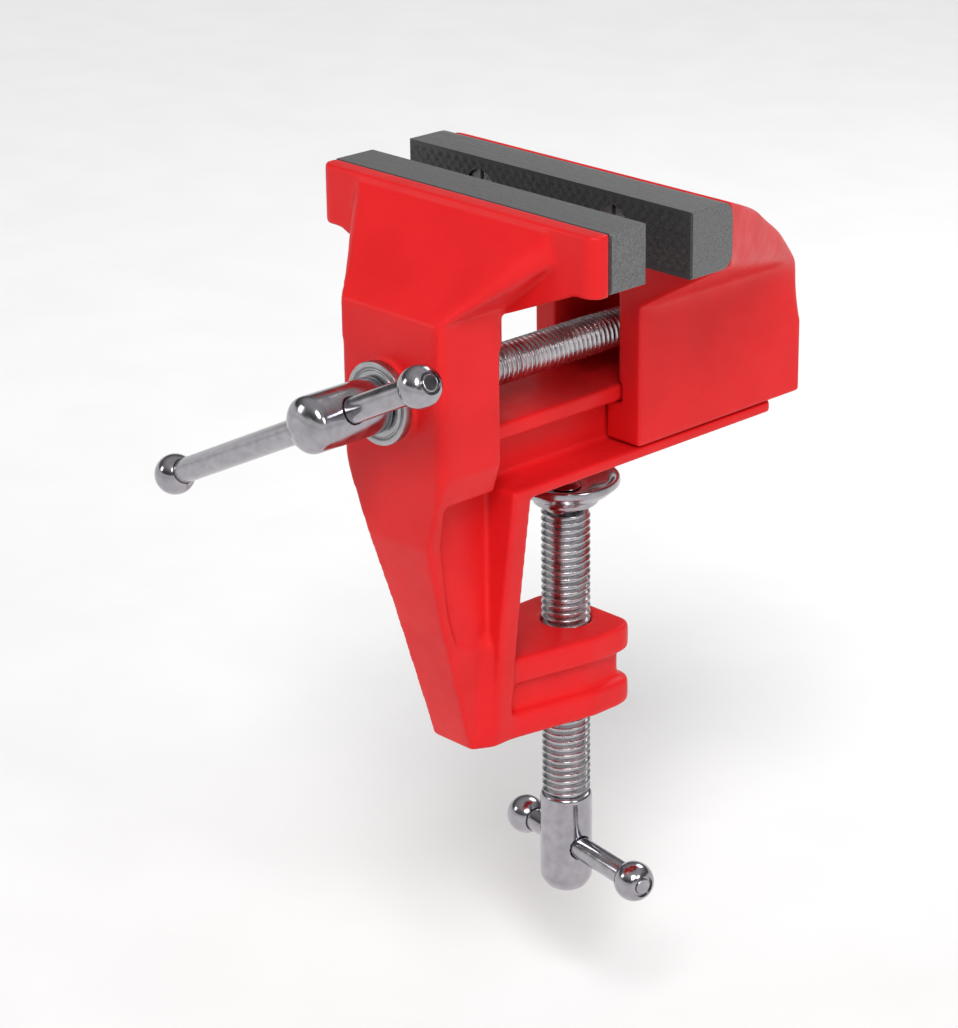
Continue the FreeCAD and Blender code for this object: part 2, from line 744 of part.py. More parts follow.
def collar_pin():
    """The pin through the collar and the screw."""
    body = new_body("collar_pin")
    section = new_sketch(body, "XY_Plane", "collar_pin_section")
    circle(section, "0", "-body_back + axial_gap + collar_length / 2", "pin_radius")
    pad(body, section, "pin_length", both_sides=True)
    turn_with_main_screw(body)
    return body


def rod(name, length, radius):
    """A handle rod along X with a reduced end inside each knob."""
    body = new_body(name)
    profile = new_sketch(body, "XY_Plane", name + "_profile")
    half = "({} / 2)".format(length)
    polygon(profile, [
        ("-{} - knob_cap".format(half), "0"),
        ("-{} - knob_cap".format(half), "neck_radius"),
        ("-{} + knob_radius - 1".format(half), "neck_radius"),
        ("-{} + knob_radius - 1".format(half), radius),
        ("{} - knob_radius + 1".format(half), radius),
        ("{} - knob_radius + 1".format(half), "neck_radius"),
        ("{} + knob_cap".format(half), "neck_radius"),
        ("{} + knob_cap".format(half), "0"),
    ])
    revolve(body, profile, "H_Axis")
    return body


def knob(name, length, side):
    """A ball knob pushed on a rod end, flat outside where the rod is peened over."""
    body = new_body(name)
    profile = new_sketch(body, "XY_Plane", name + "_profile")
    steps = 10
    centre = "{} * ({} / 2)".format(side, length)
    corners = [("{} - {} * (knob_radius - 1)".format(centre, side), "neck_radius")]
    corners.append(
        ("{} - {} * (knob_radius - 1)".format(centre, side), "knob_radius * 0.66")
    )
    for step in range(1, steps):
        turn = 140.0 - 105.0 * step / steps
        along = "{} + {} * knob_radius * cos({} deg)".format(centre, side, turn)
        corners.append((along, "knob_radius * sin({} deg)".format(turn)))
    corners.append(("{} + {} * knob_cap".format(centre, side), "knob_radius * 0.55"))
    corners.append(("{} + {} * knob_cap".format(centre, side), "neck_radius"))
    polygon(profile, corners)
    revolve(body, profile, "H_Axis")
    return body


def place_main_handle(body):
    """Slide a handle part along the handle and tilt it in the main screw's head."""
    body.Placement = FreeCAD.Placement(
        FreeCAD.Vector(0, 0, 0),
        FreeCAD.Rotation(FreeCAD.Vector(0, -1, 0), VALUE["rod_angle"]),
    )
    body.setExpression("Placement.Base.x", bound("-rod_shift * cos(rod_angle * 1 deg)"))
    body.setExpression("Placement.Base.y", bound("-main_hole_y"))
    body.setExpression(
        "Placement.Base.z", bound("screw_height - rod_shift * sin(rod_angle * 1 deg)")
    )
    body.setExpression("Placement.Rotation.Angle", "dims.rod_angle * 1 deg")


def clamp_screw():
    """The clamp screw with its cross-drilled head below and swivel tip above."""
    body = new_body("clamp_screw")
    profile = new_sketch(body, "XZ_Plane", "clamp_screw_profile")
    seat = "-pad_top - pad_dish - pad_thick"
    polygon(profile, [
        ("0", "-clamp_foot"),
        ("clamp_head_radius - 2.4", "-clamp_foot + 0.4"),
        ("clamp_head_radius - 0.8", "-clamp_foot + 1.4"),
        ("clamp_head_radius", "-clamp_foot + clamp_dome"),
        ("clamp_head_radius", "-clamp_head_top - 0.6"),
        ("clamp_radius", "-clamp_head_top"),
        ("clamp_radius", seat + " - 2.2"),
        ("clamp_radius - 1", seat + " - 1.2"),
        ("clamp_radius - 1", seat + " - axial_gap"),
        ("rivet_radius", seat + " - axial_gap"),
        ("rivet_radius", "-pad_top - pad_dish + axial_gap"),
        ("rivet_head", "-pad_top - pad_dish + axial_gap"),
        ("rivet_head - 1.2", "-pad_top - pad_dish + axial_gap + rivet_height"),
        ("0", "-pad_top - pad_dish + axial_gap + rivet_height"),
    ])
    revolve(body, profile, "V_Axis")
    hole = new_sketch(body, "YZ_Plane", "clamp_handle_hole")
    circle(hole, "0", "-clamp_hole_z", "clamp_rod_radius + hole_clearance")
    pocket(body, hole, "3 * clamp_head_radius", both_sides=True)
    body.Placement = FreeCAD.Placement(
        FreeCAD.Vector(0, 0, 0),
        FreeCAD.Rotation(FreeCAD.Vector(0, 0, 1), VALUE["clamp_rod_angle"]),
    )
    body.setExpression("Placement.Rotation.Angle", "dims.clamp_rod_angle * 1 deg")
    return body


def clamp_pad():
    """The dished pressure pad that swivels on the end of the clamp screw."""
    body = new_body("clamp_pad")
    profile = new_sketch(body, "XZ_Plane", "clamp_pad_profile")
    floor = "-pad_top - pad_dish"
    polygon(profile, [
        ("rivet_radius + stud_clearance", floor),
        ("pad_radius * 0.45", floor),
        ("pad_radius * 0.8", floor + " + pad_dish * 0.45"),
        ("pad_radius - 0.9", "-pad_top"),
        ("pad_radius - 0.3", "-pad_top"),
        ("pad_radius", "-pad_top - 0.4"),
        ("pad_radius", "-pad_top - pad_rim"),
        ("pad_radius * 0.82", floor + " - pad_thick + pad_dish * 0.4"),
        ("socket_radius + 0.4", floor + " - pad_thick"),
        ("socket_radius", floor + " - pad_thick - pad_socket"),
        ("socket_radius - socket_wall", floor + " - pad_thick - pad_socket"),
        ("socket_radius - socket_wall", floor + " - pad_thick"),
        ("rivet_radius + stud_clearance", floor + " - pad_thick"),
    ])
    revolve(body, profile, "V_Axis")
    return body


def place_clamp_handle(body):
    """Slide a handle part along the clamp handle and turn it with the clamp screw."""
    body.Placement = FreeCAD.Placement(
        FreeCAD.Vector(0, 0, 0),
        FreeCAD.Rotation(FreeCAD.Vector(0, 0, 1), VALUE["clamp_rod_angle"]),
    )
    body.setExpression(
        "Placement.Base.x", bound("clamp_rod_shift * cos(clamp_rod_angle * 1 deg)")
    )
    body.setExpression(
        "Placement.Base.y", bound("clamp_rod_shift * sin(clamp_rod_angle * 1 deg)")
    )
    body.setExpression("Placement.Base.z", bound("-clamp_hole_z"))
    body.setExpression("Placement.Rotation.Angle", "dims.clamp_rod_angle * 1 deg")


nodes = [fixed_casting(), front_plate(), rear_plate(), sliding_jaw(), main_screw()]
nodes += [thrust_washer(), retaining_collar(), collar_pin(), clamp_screw(), clamp_pad()]

for side, x in (("left", "-plate_screw_x"), ("right", "plate_screw_x")):
    nodes.append(plate_screw(
        "front_plate_screw_" + side, x, "plate_height",
        "wing_back - front_plate_thick", -1, "front_plate_thick",
    ))
    nodes.append(plate_screw(
        "rear_plate_screw_" + side, x, "rear_plate_height",
        REAR_FACE, 1, "rear_plate_thick",
    ))

main_handle = [
    rod("main_handle_rod", "rod_length", "rod_radius"),
    knob("main_handle_knob_left", "rod_length", -1),
    knob("main_handle_knob_right", "rod_length", 1),
]
for part in main_handle:
    place_main_handle(part)

clamp_handle = [
    rod("clamp_handle_rod", "clamp_rod_length", "clamp_rod_radius"),
    knob("clamp_handle_knob_left", "clamp_rod_length", -1),
    knob("clamp_handle_knob_right", "clamp_rod_length", 1),
]
for part in clamp_handle:
    place_clamp_handle(part)

nodes += main_handle + clamp_handle
doc.recompute()

for thing in doc.Objects:
    if "Invalid" in thing.State or "Error" in thing.State:
        raise ValueError("{} did not compute: {}".format(thing.Name, thing.State))

os.makedirs("parts", exist_ok=True)
for node in nodes:
    shape = node.Shape
    if shape.isNull() or not shape.isValid():
        raise ValueError("bad shape in " + node.Label)
    shape.exportStep("parts/{}.step".format(node.Label))
    print(node.Label, len(shape.Solids), round(shape.Volume / 1000.0, 2), "cm3")
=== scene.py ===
"""Looks of the clamp-on bench vise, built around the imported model.

The castings get soft moulded edges, the screws real helical threads, the jaw plates
cut serrations, and the turned pieces rounded profiles. All lengths named here are in
millimetres and are turned into metres when a mesh is made.
"""
import math

import bmesh
import bpy
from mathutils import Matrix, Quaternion, Vector

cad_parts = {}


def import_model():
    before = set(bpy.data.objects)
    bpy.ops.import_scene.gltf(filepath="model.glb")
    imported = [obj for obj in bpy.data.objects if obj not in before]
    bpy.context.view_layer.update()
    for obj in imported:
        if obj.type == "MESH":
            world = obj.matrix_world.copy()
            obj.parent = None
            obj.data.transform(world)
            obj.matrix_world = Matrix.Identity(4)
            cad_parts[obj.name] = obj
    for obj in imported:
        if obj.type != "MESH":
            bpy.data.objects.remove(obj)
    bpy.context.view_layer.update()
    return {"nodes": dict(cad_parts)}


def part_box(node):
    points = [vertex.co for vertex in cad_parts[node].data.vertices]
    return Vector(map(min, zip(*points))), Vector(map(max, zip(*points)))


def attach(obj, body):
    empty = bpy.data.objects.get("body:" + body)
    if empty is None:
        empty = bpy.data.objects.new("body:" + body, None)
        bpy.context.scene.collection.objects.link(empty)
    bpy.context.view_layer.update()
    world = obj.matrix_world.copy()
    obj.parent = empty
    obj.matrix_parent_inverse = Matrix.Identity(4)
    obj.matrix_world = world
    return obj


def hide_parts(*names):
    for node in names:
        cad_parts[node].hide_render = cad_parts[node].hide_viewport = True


MM = 0.001

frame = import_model()
NODES = frame["nodes"]

# dimensions shared with the solids
MAIN_HEIGHT = 22.5
MAIN_RADIUS = 4.0
MAIN_PITCH = 1.25
MAIN_REAR = 58.0
MAIN_SHOULDER = -50.1
MAIN_NOSE = -69.0
MAIN_HEAD_RADIUS = 5.5
MAIN_HOLE_Y = -59.3
HANDLE_TILT = math.radians(26.5)
HANDLE_SHIFT = -15.2
HANDLE_SPAN = 81.0
HANDLE_RADIUS = 2.5
CLAMP_RADIUS = 5.0
CLAMP_PITCH = 1.5
CLAMP_TOP = -11.6
CLAMP_SHOULDER = -75.0
CLAMP_FOOT = -97.5
CLAMP_HEAD_RADIUS = 5.4
CLAMP_HOLE_Z = -86.5
CLAMP_TURN = math.radians(-8.4)
CLAMP_SHIFT = 4.4
CLAMP_SPAN = 37.0
CLAMP_ROD_RADIUS = 2.4
HOLE_CLEARANCE = 0.15
BORE_CLEARANCE = 0.1
KNOB_RADIUS = 4.1
KNOB_CAP = 3.2
NECK_RADIUS = 1.7
PAD_TOP = -5.2
PAD_RADIUS = 11.0
PAD_FLOOR = -7.6
PAD_UNDER = -9.4

AXIS_X = Vector((1, 0, 0))
AXIS_Y = Vector((0, 1, 0))
AXIS_Z = Vector((0, 0, 1))


# ---------------------------------------------------------------- mesh helpers

def make_object(name, mesh):
    """Put a mesh in the scene under a plain name."""
    obj = bpy.data.objects.new(name, mesh)
    bpy.context.scene.collection.objects.link(obj)
    return obj


def mesh_from(name, points, faces):
    """Make a closed mesh from points in millimetres."""
    work = bmesh.new()
    corners = [work.verts.new(Vector(point) * MM) for point in points]
    for face in faces:
        work.faces.new([corners[index] for index in face])
    return finished_mesh(name, work)


def finished_mesh(name, work):
    """Weld, close and orient a mesh under construction."""
    weld = 0.002 * MM
    bmesh.ops.remove_doubles(work, verts=work.verts, dist=weld)
    bmesh.ops.dissolve_degenerate(work, edges=work.edges, dist=weld)
    bmesh.ops.holes_fill(work, edges=work.edges, sides=0)
    bmesh.ops.recalc_face_normals(work, faces=work.faces)
    mesh = bpy.data.meshes.new(name)
    work.to_mesh(mesh)
    work.free()
    return mesh


def bake_modifiers(obj):
    """Replace an object's mesh by what its modifiers make of it."""
    graph = bpy.context.evaluated_depsgraph_get()
    result = bpy.data.meshes.new_from_object(obj.evaluated_get(graph))
    obj.modifiers.clear()
    obj.data = result


def soften(obj, voxel, passes):
    """Rebuild a mesh in even small faces that lie on it, then round all its edges."""
    guide = make_object(obj.name + "_guide", obj.data.copy())
    remesh = obj.modifiers.new("rebuild", "REMESH")
    remesh.mode = "VOXEL"
    remesh.voxel_size = voxel * MM
    remesh.use_smooth_shade = True
    snap = obj.modifiers.new("snap", "SHRINKWRAP")
    snap.wrap_method = "NEAREST_SURFACEPOINT"
    snap.target = guide
    bake_modifiers(obj)
    bpy.data.objects.remove(guide)
    relax(obj, passes)
    obj.data.shade_smooth()


def relax(obj, passes, share=None):
    """Average each point with its neighbours, fully or by a share that each place has."""
    smooth = obj.modifiers.new("round", "SMOOTH")
    smooth.factor = 0.5
    smooth.iterations = passes
    if share is not None:
        group = obj.vertex_groups.new(name="soft")
        for vertex in obj.data.vertices:
            weight = share(vertex.co / MM)
            if weight > 0:
                group.add([vertex.index], weight, "REPLACE")
        smooth.vertex_group = group.name
    bake_modifiers(obj)
    obj.vertex_groups.clear()


def fade(value, start, full):
    """Nought before the start, one past the full mark, and rising evenly between them."""
    return min(max((value - start) / (full - start), 0.0), 1.0)


def thin_out(obj, share):
    """Keep only a share of the faces where the surface is nearly flat."""
    fewer = obj.modifiers.new("fewer", "DECIMATE")
    fewer.ratio = share
    bake_modifiers(obj)


def softened_copy(node, name, voxel, passes):
    """A copy of a CAD node with rounded edges."""
    work = bmesh.new()
    work.from_mesh(NODES[node].data)
    obj = make_object(name, finished_mesh(name, work))
    soften(obj, voxel, passes)
    return obj


def keep_bore_open(obj, centre, axis, radius, start, end):
    """Push any surface that has crept into a stretch of a bore back out to its wall."""
    limit = radius * MM
    middle = Vector(centre) * MM
    for vertex in obj.data.vertices:
        offset = vertex.co - middle
        if not start * MM < offset.dot(axis) < end * MM:
            continue
        along = axis * offset.dot(axis)
        across = offset - along
        if 0 < across.length < limit:
            vertex.co = middle + along + across.normalized() * limit


def rounded(profile, radius, steps=4, closed=False):
    """Replace each corner of a profile by a short curve."""
    points = [Vector(point) for point in profile]
    count = len(points)
    result = []
    for index, corner in enumerate(points):
        if not closed and index in (0, count - 1):
            result.append(tuple(corner))
            continue
        before = points[index - 1] - corner
        after = points[(index + 1) % count] - corner
        start = corner + before.normalized() * min(radius, before.length * 0.45)
        end = corner + after.normalized() * min(radius, after.length * 0.45)
        for step in range(steps + 1):
            share = step / steps
            first = start.lerp(corner, share)
            second = corner.lerp(end, share)
            result.append(tuple(first.lerp(second, share)))
    return result


def across(axis):
    """Two directions square to an axis."""
    helper = AXIS_Z if abs(axis.z) < 0.9 else AXIS_X
    first = axis.cross(helper).normalized()
    return first, axis.cross(first).normalized()


def lathe(name, profile, centre, axis, closed=False, steps=72):
    """Spin a profile of (distance along the axis, radius) pairs into a solid."""
    first, second = across(axis)
    middle = Vector(centre)
    points = []
    for along, radius in profile:
        for step in range(steps):
            turn = 2 * math.pi * step / steps
            spoke = first * math.cos(turn) + second * math.sin(turn)
            points.append(middle + axis * along + spoke * radius)
    faces = []
    rows = len(profile) if closed else len(profile) - 1
    for row in range(rows):
        lower = row * steps
        upper = ((row + 1) % len(profile)) * steps
        for step in range(steps):
            following = (step + 1) % steps
            faces.append((lower + step, lower + following, upper + following, upper + step))
    return make_object(name, mesh_from(name, points, faces))


def threaded_rod(name, centre, axis, start, end, radius, pitch):
    """A right-hand thread between two distances along an axis, with coned ends."""
    segments = 64
    root = radius - 0.61 * pitch
    land = 0.045 * pitch
    shape = (
        (0.0, root),
        (0.22, root),
        (0.52, radius - land),
        (0.57, radius),
        (0.67, radius),
        (0.72, radius - land),
    )
    end_radius = root - 0.2
    first, second = across(axis)
    if first.cross(second).dot(axis) < 0:
        second = -second
    middle = Vector(centre)
    turns = int(math.ceil((end - start) / pitch)) + 4
    rows = [(start + pitch * (turn - 2 + part), height)
            for turn in range(turns) for part, height in shape]
    points = []
    for along, height in rows:
        for segment in range(segments):
            share = segment / segments
            place = min(max(along + pitch * share, start), end)
            cone = end_radius + min(place - start, end - place)
            spoke = first * math.cos(2 * math.pi * share) + second * math.sin(2 * math.pi * share)
            points.append(middle + axis * place + spoke * min(height, cone))
    faces = []
    step_up = len(shape)
    for row in range(len(rows) - 1 - step_up):
        for segment in range(segments):
            low = row * segments + segment
            if segment + 1 < segments:
                faces.append((low, low + 1, low + 1 + segments, low + segments))
            else:
                beside = (row + step_up) * segments
                faces.append((low, beside, beside + segments, low + segments))
    work = bmesh.new()
    corners = [work.verts.new(point * MM) for point in points]
    for face in faces:
        work.faces.new([corners[index] for index in face])
    return make_object(name, finished_mesh(name, work))


def drilled(obj, centre, axis, radius, length):
    """Drill a straight hole through an object."""
    reach = length / 2
    profile = [(-reach, radius), (reach, radius)]
    drill = lathe("drill", profile, centre, axis, steps=48)
    cut = obj.modifiers.new("cut", "BOOLEAN")
    cut.operation = "DIFFERENCE"
    cut.solver = "EXACT"
    cut.object = drill
    bake_modifiers(obj)
    bpy.data.objects.remove(drill)


def crisp(obj, degrees):
    """Shade smoothly but keep edges sharper than an angle."""
    obj.data.shade_smooth()
    obj.data.set_sharp_from_angle(angle=math.radians(degrees))


def settle(obj, body, slot, material, *nodes):
    """Hand a finished piece to its body, material and CAD nodes; the slot argument is not used.
    """
    obj.data.materials.clear()
    obj.data.materials.append(material)
    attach(obj, body)
    if nodes:
        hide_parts(*nodes)


# ---------------------------------------------------------------- materials

def new_material(name, metallic, roughness):
    """A material with one principled shader, and its node tree."""
    material = bpy.data.materials.new(name)
    material.use_nodes = True
    tree = material.node_tree
    shader = tree.nodes["Principled BSDF"]
    shader.inputs["Metallic"].default_value = metallic
    shader.inputs["Roughness"].default_value = roughness
    return material, tree, shader


def noise(tree, scale, detail=4.0, stretch=(1, 1, 1)):
    """Noise in the object's own space; scale is in features per metre."""
    place = tree.nodes.new("ShaderNodeTexCoord")
    mapping = tree.nodes.new("ShaderNodeMapping")
    mapping.inputs["Scale"].default_value = stretch
    texture = tree.nodes.new("ShaderNodeTexNoise")
    texture.inputs["Scale"].default_value = scale
    texture.inputs["Detail"].default_value = detail
    tree.links.new(place.outputs["Object"], mapping.inputs["Vector"])
    tree.links.new(mapping.outputs["Vector"], texture.inputs["Vector"])
    return texture.outputs["Fac"]


def blend_colours(tree, value, dark, light, low=0.35, high=0.65):
    """Two colours mixed by a value."""
    ramp = tree.nodes.new("ShaderNodeValToRGB")
    ramp.color_ramp.elements[0].position = low
    ramp.color_ramp.elements[1].position = high
    ramp.color_ramp.elements[0].color = (*dark, 1)
    ramp.color_ramp.elements[1].color = (*light, 1)
    tree.links.new(value, ramp.inputs["Fac"])
    return ramp.outputs["Color"]


def facing(tree, axis):
    """One where the surface faces along an axis of the object, nought where it lies along it."""
    place = tree.nodes.new("ShaderNodeTexCoord")
    split = tree.nodes.new("ShaderNodeSeparateXYZ")
    size = tree.nodes.new("ShaderNodeMath")
    size.operation = "ABSOLUTE"
    tree.links.new(place.outputs["Normal"], split.inputs["Vector"])
    tree.links.new(split.outputs[axis], size.inputs[0])
    return size.outputs["Value"]


def mix_colours(tree, value, first, second):
    """The first colour where the value is nought and the second where it is one."""
    mix = tree.nodes.new("ShaderNodeMix")
    mix.data_type = "RGBA"
    tree.links.new(value, mix.inputs["Factor"])
    colours = [socket for socket in mix.inputs if socket.type == "RGBA"]
    tree.links.new(first, colours[0])
    tree.links.new(second, colours[1])
    result = [socket for socket in mix.outputs if socket.type == "RGBA"]
    return result[0]


def spread(tree, value, low, high):
    """A value between two numbers, following a texture."""
    remap = tree.nodes.new("ShaderNodeMapRange")
    remap.inputs["From Min"].default_value = 0.3
    remap.inputs["From Max"].default_value = 0.7
    remap.inputs["To Min"].default_value = low
    remap.inputs["To Max"].default_value = high
    tree.links.new(value, remap.inputs["Value"])
    return remap.outputs["Result"]


def bumps(tree, shader, layers):
    """Stack bump layers of (value, strength, depth in millimetres) on a shader."""
    previous = None
    for value, strength, depth in layers:
        bump = tree.nodes.new("ShaderNodeBump")
        bump.inputs["Strength"].default_value = strength
        bump.inputs["Distance"].default_value = depth * MM
        tree.links.new(value, bump.inputs["Height"])
        if previous is not None:
            tree.links.new(previous, bump.inputs["Normal"])
        previous = bump.outputs["Normal"]
    tree.links.new(previous, shader.inputs["Normal"])


def red_paint():
    """Red enamel with a soft sheen over a slightly lumpy casting."""
    material, tree, shader = new_material("red_enamel", 0.0, 0.3)
    patches = noise(tree, 70, 3)
    colour = blend_colours(tree, patches, (0.63, 0.009, 0.011), (0.69, 0.012, 0.014))
    tree.links.new(colour, shader.inputs["Base Color"])
    tree.links.new(spread(tree, noise(tree, 260, 4), 0.38, 0.50), shader.inputs["Roughness"])
    shader.inputs["Specular IOR Level"].default_value = 0.17
    shader.inputs["Coat Weight"].default_value = 0.05
    shader.inputs["Coat Roughness"].default_value = 0.2
    lumps = noise(tree, 90, 2)
    peel = noise(tree, 700, 2)
    bumps(tree, shader, ((lumps, 0.35, 0.35), (peel, 0.2, 0.05)))
    return material


def jaw_steel():
    """Ground steel with a fine speckle, with painted shade darkening the faces that grip."""
    material, tree, shader = new_material("ground_jaw_steel", 0.35, 0.5)
    speckle = noise(tree, 3400, 5)
    grain = noise(tree, 1100, 3, (0.10, 1, 1))
    ground = blend_colours(tree, speckle, (0.095, 0.096, 0.097), (0.18, 0.18, 0.181))
    # painted shade: a darker copy of the steel colour on the faces along Y, standing in for their
    # shade
    painted_grip_shade = blend_colours(tree, speckle, (0.026, 0.026, 0.027), (0.055, 0.055, 0.056))
    shaded_grip_mask = spread(tree, facing(tree, "Y"), 0.0, 1.0)
    colour = mix_colours(tree, shaded_grip_mask, ground, painted_grip_shade)
    tree.links.new(colour, shader.inputs["Base Color"])
    tree.links.new(spread(tree, grain, 0.42, 0.62), shader.inputs["Roughness"])
    bumps(tree, shader, ((grain, 0.25, 0.04), (speckle, 0.2, 0.03)))
    return material


def plated_steel(name, axis, base, low, high):
    """Bright plating with turning marks round an axis."""
    material, tree, shader = new_material(name, 1.0, low)
    stretch = [0.05, 0.05, 0.05]
    stretch[axis] = 1.0
    marks = noise(tree, 3200, 3, stretch)
    haze = noise(tree, 420, 4)
    dull = tuple(channel * 0.80 for channel in base)
    tree.links.new(blend_colours(tree, haze, dull, base), shader.inputs["Base Color"])
    tree.links.new(spread(tree, haze, low, high), shader.inputs["Roughness"])
    bumps(tree, shader, ((marks, 0.12, 0.02), (haze, 0.10, 0.05)))
    return material


def floor_material():
    """Plain pale matt floor with a faint unevenness."""
    material, tree, shader = new_material("pale_floor", 0.0, 0.9)
    grain = noise(tree, 30, 2)
    tree.links.new(
        blend_colours(tree, grain, (0.86, 0.86, 0.86), (0.88, 0.88, 0.88)),
        shader.inputs["Base Color"],
    )
    return material


RED = red_paint()
JAW = jaw_steel()
BRIGHT = (0.42, 0.405, 0.435)
PLATE_X = plated_steel("bright_plate_along_x", 0, BRIGHT, 0.12, 0.22)
PLATE_Y = plated_steel("bright_plate_along_y", 1, BRIGHT, 0.12, 0.22)
PLATE_Z = plated_steel("bright_plate_along_z", 2, BRIGHT, 0.12, 0.22)
ZINC = plated_steel("zinc_plate", 1, (0.44, 0.44, 0.45), 0.25, 0.4)
# painted light: the main thread is coloured lighter than the clamp thread to make up for the
# jaws' shade on it
THREAD_Y = plated_steel("thread_along_y", 1, (0.66, 0.65, 0.67), 0.2, 0.32)
THREAD_Z = plated_steel("thread_along_z", 2, (0.52, 0.51, 0.53), 0.2, 0.32)


# ---------------------------------------------------------------- castings

CAST_VOXEL = 0.4
CAST_PASSES = 18
CAST_SHARE = 0.35
ARM_PASSES = 30
GUSSET_PASSES = 110
FLARE_PASSES = 260
BACK_PASSES = 60
HOUSING_SPAN = (-60, -20)
ARM_SPAN = (-60, -30)
SLIDE_SPAN = (0, 60)


def fixed_casting():
    """Housing, leg, arm and beam with rounded cast edges."""
    obj = softened_copy("fixed_jaw_casting", "fixed_casting_soft", CAST_VOXEL, CAST_PASSES)

    def arm(point):
        """Full on the lower arm, fading out towards the leg and the beam."""
        return fade(point.y, -30, -20) * fade(-point.z, 32, 38)

    def gusset(point):
        """Full on the gusset's two slopes, nought between them, low down and at the edges."""
        height = fade(point.z, 40, 45) * fade(-point.z, -57.5, -54)
        return height * fade(abs(point.x), 12, 16) * fade(-point.y, 30.6, 32)

    relax(obj, ARM_PASSES, arm)
    relax(obj, GUSSET_PASSES, gusset)
    screw_centre = (0, 0, MAIN_HEIGHT)
    keep_bore_open(obj, screw_centre, AXIS_Y, MAIN_RADIUS + BORE_CLEARANCE, *HOUSING_SPAN)
    keep_bore_open(obj, (0, 0, 0), AXIS_Z, CLAMP_RADIUS + BORE_CLEARANCE, *ARM_SPAN)
    thin_out(obj, CAST_SHARE)
    settle(obj, "frame", "red_paint", RED, "fixed_jaw_casting")


def sliding_casting():
    """The sliding jaw with rounded cast edges."""
    obj = softened_copy("sliding_jaw", "sliding_casting_soft", CAST_VOXEL, CAST_PASSES)

    def under_flare(point):
        """Full on the flare's sides, nought at its plate, its top, its foot and its middle."""
        height = fade(point.z, 18, 26) * fade(-point.z, -54, -48)
        return height * fade(point.y, 6.5, 10) * fade(abs(point.x), 5, 9)

    def upper_back(point):
        """Full high up at the back of the sliding jaw."""
        return fade(point.y, 20, 34) * fade(point.z, 20, 28)

    relax(obj, FLARE_PASSES, under_flare)
    relax(obj, BACK_PASSES, upper_back)
    screw_centre = (0, 0, MAIN_HEIGHT)
    keep_bore_open(obj, screw_centre, AXIS_Y, MAIN_RADIUS + BORE_CLEARANCE, *SLIDE_SPAN)
    thin_out(obj, CAST_SHARE)
    settle(obj, "sliding_jaw", "red_paint", RED, "sliding_jaw")


# ---------------------------------------------------------------- jaw plates

PLATE_STEP = 0.42
PLATE_BORDER = 0.9
SERRATION_PITCH = 2.4
SERRATION_DEPTH = 0.3
GROOVE_SHARE = 0.22
PLATE_SCREW_X = 18.0
SINK_RADIUS = 3.95
SINK_DEPTH = 2.6
SCREW_HOLE_RADIUS = 2.05
DRILL_OVERSHOOT = 10.0
DRILL_THROUGH = 40.0
FRONT_PLATE_ROUND = 0.35
REAR_PLATE_ROUND = 3.2


def serration(x, z):
    """Depth of the crossed grooves at a place on a gripping face."""
    depth = 0.0
    for slanted in (x + z, x - z):
        phase = (slanted / SERRATION_PITCH) % 1.0
        depth = max(depth, 1.0 - abs(phase - 0.5) / GROOVE_SHARE)
    return SERRATION_DEPTH * depth


def jaw_plate(node, back_round):
    """A jaw plate with chamfered ends and cut serrations on its gripping face."""
    low, high = (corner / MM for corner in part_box(node))
    grips_rearward = node.startswith("front")
    grip = high.y if grips_rearward else low.y
    back = low.y if grips_rearward else high.y
    inward = -1.0 if grips_rearward else 1.0
    corners = [(grip, low.z), (grip, high.z)]
    sides = rounded([corners[1], (back, high.z), (back, low.z), corners[0]], back_round, 6)
    rows = int((high.z - low.z) / PLATE_STEP)
    face = [(grip, low.z + (high.z - low.z) * row / rows) for row in range(rows)]
    section = face + sides[:-1]
    columns = int((high.x - low.x) / PLATE_STEP)
    chamfer = 0.35
    places = [low.x] + [
        low.x + chamfer + (high.x - low.x - 2 * chamfer) * column / columns
        for column in range(columns + 1)
    ] + [high.x]
    centre = Vector(((grip + back) / 2, (low.z + high.z) / 2))
    points = []
    for place in places:
        tucked = place in (low.x, high.x)
        for index, (y, z) in enumerate(section):
            if tucked:
                y += chamfer * (1 if y < centre.x else -1)
                z += chamfer * (1 if z < centre.y else -1)
            elif index < rows:
                edge = min(z - low.z, high.z - z, place - low.x, high.x - place)
                if edge > PLATE_BORDER:
                    y += inward * serration(place, z)
            points.append((place, y, z))
    around = len(section)
    faces = []
    for column in range(len(places) - 1):
        for index in range(around):
            following = (index + 1) % around
            near = column * around
            far = near + around
            faces.append((near + index, near + following, far + following, far + index))
    obj = make_object(node + "_serrated", mesh_from(node, points, faces))
    middle = (low.z + high.z) / 2
    sink_middle = grip + inward * (SINK_DEPTH - DRILL_OVERSHOOT) / 2
    sink_length = SINK_DEPTH + DRILL_OVERSHOOT
    for x in (-PLATE_SCREW_X, PLATE_SCREW_X):
        drilled(obj, (x, sink_middle, middle), AXIS_Y, SINK_RADIUS, sink_length)
        through = (x, (grip + back) / 2, middle)
        drilled(obj, through, AXIS_Y, SCREW_HOLE_RADIUS, DRILL_THROUGH)
    crisp(obj, 30)
    return obj


def jaw_plates():
    """Both plates and the finish of their screws."""
    front = jaw_plate("front_jaw_plate", FRONT_PLATE_ROUND)
    settle(front, "frame", "jaw_steel", JAW, "front_jaw_plate")
    rear = jaw_plate("rear_jaw_plate", REAR_PLATE_ROUND)
    settle(rear, "sliding_jaw", "jaw_steel", JAW, "rear_jaw_plate")
    for jaw in ("front", "rear"):
        for side in ("left", "right"):
            paint_node("{}_plate_screw_{}".format(jaw, side), ZINC)


def paint_node(node, material):
    """Give a CAD node a finished material."""
    mesh = NODES[node].data
    mesh.materials.clear()
    mesh.materials.append(material)


# ---------------------------------------------------------------- main screw

HEAD_VOXEL = 0.16
HEAD_PASSES = 4
HEAD_DRILL = 30.0


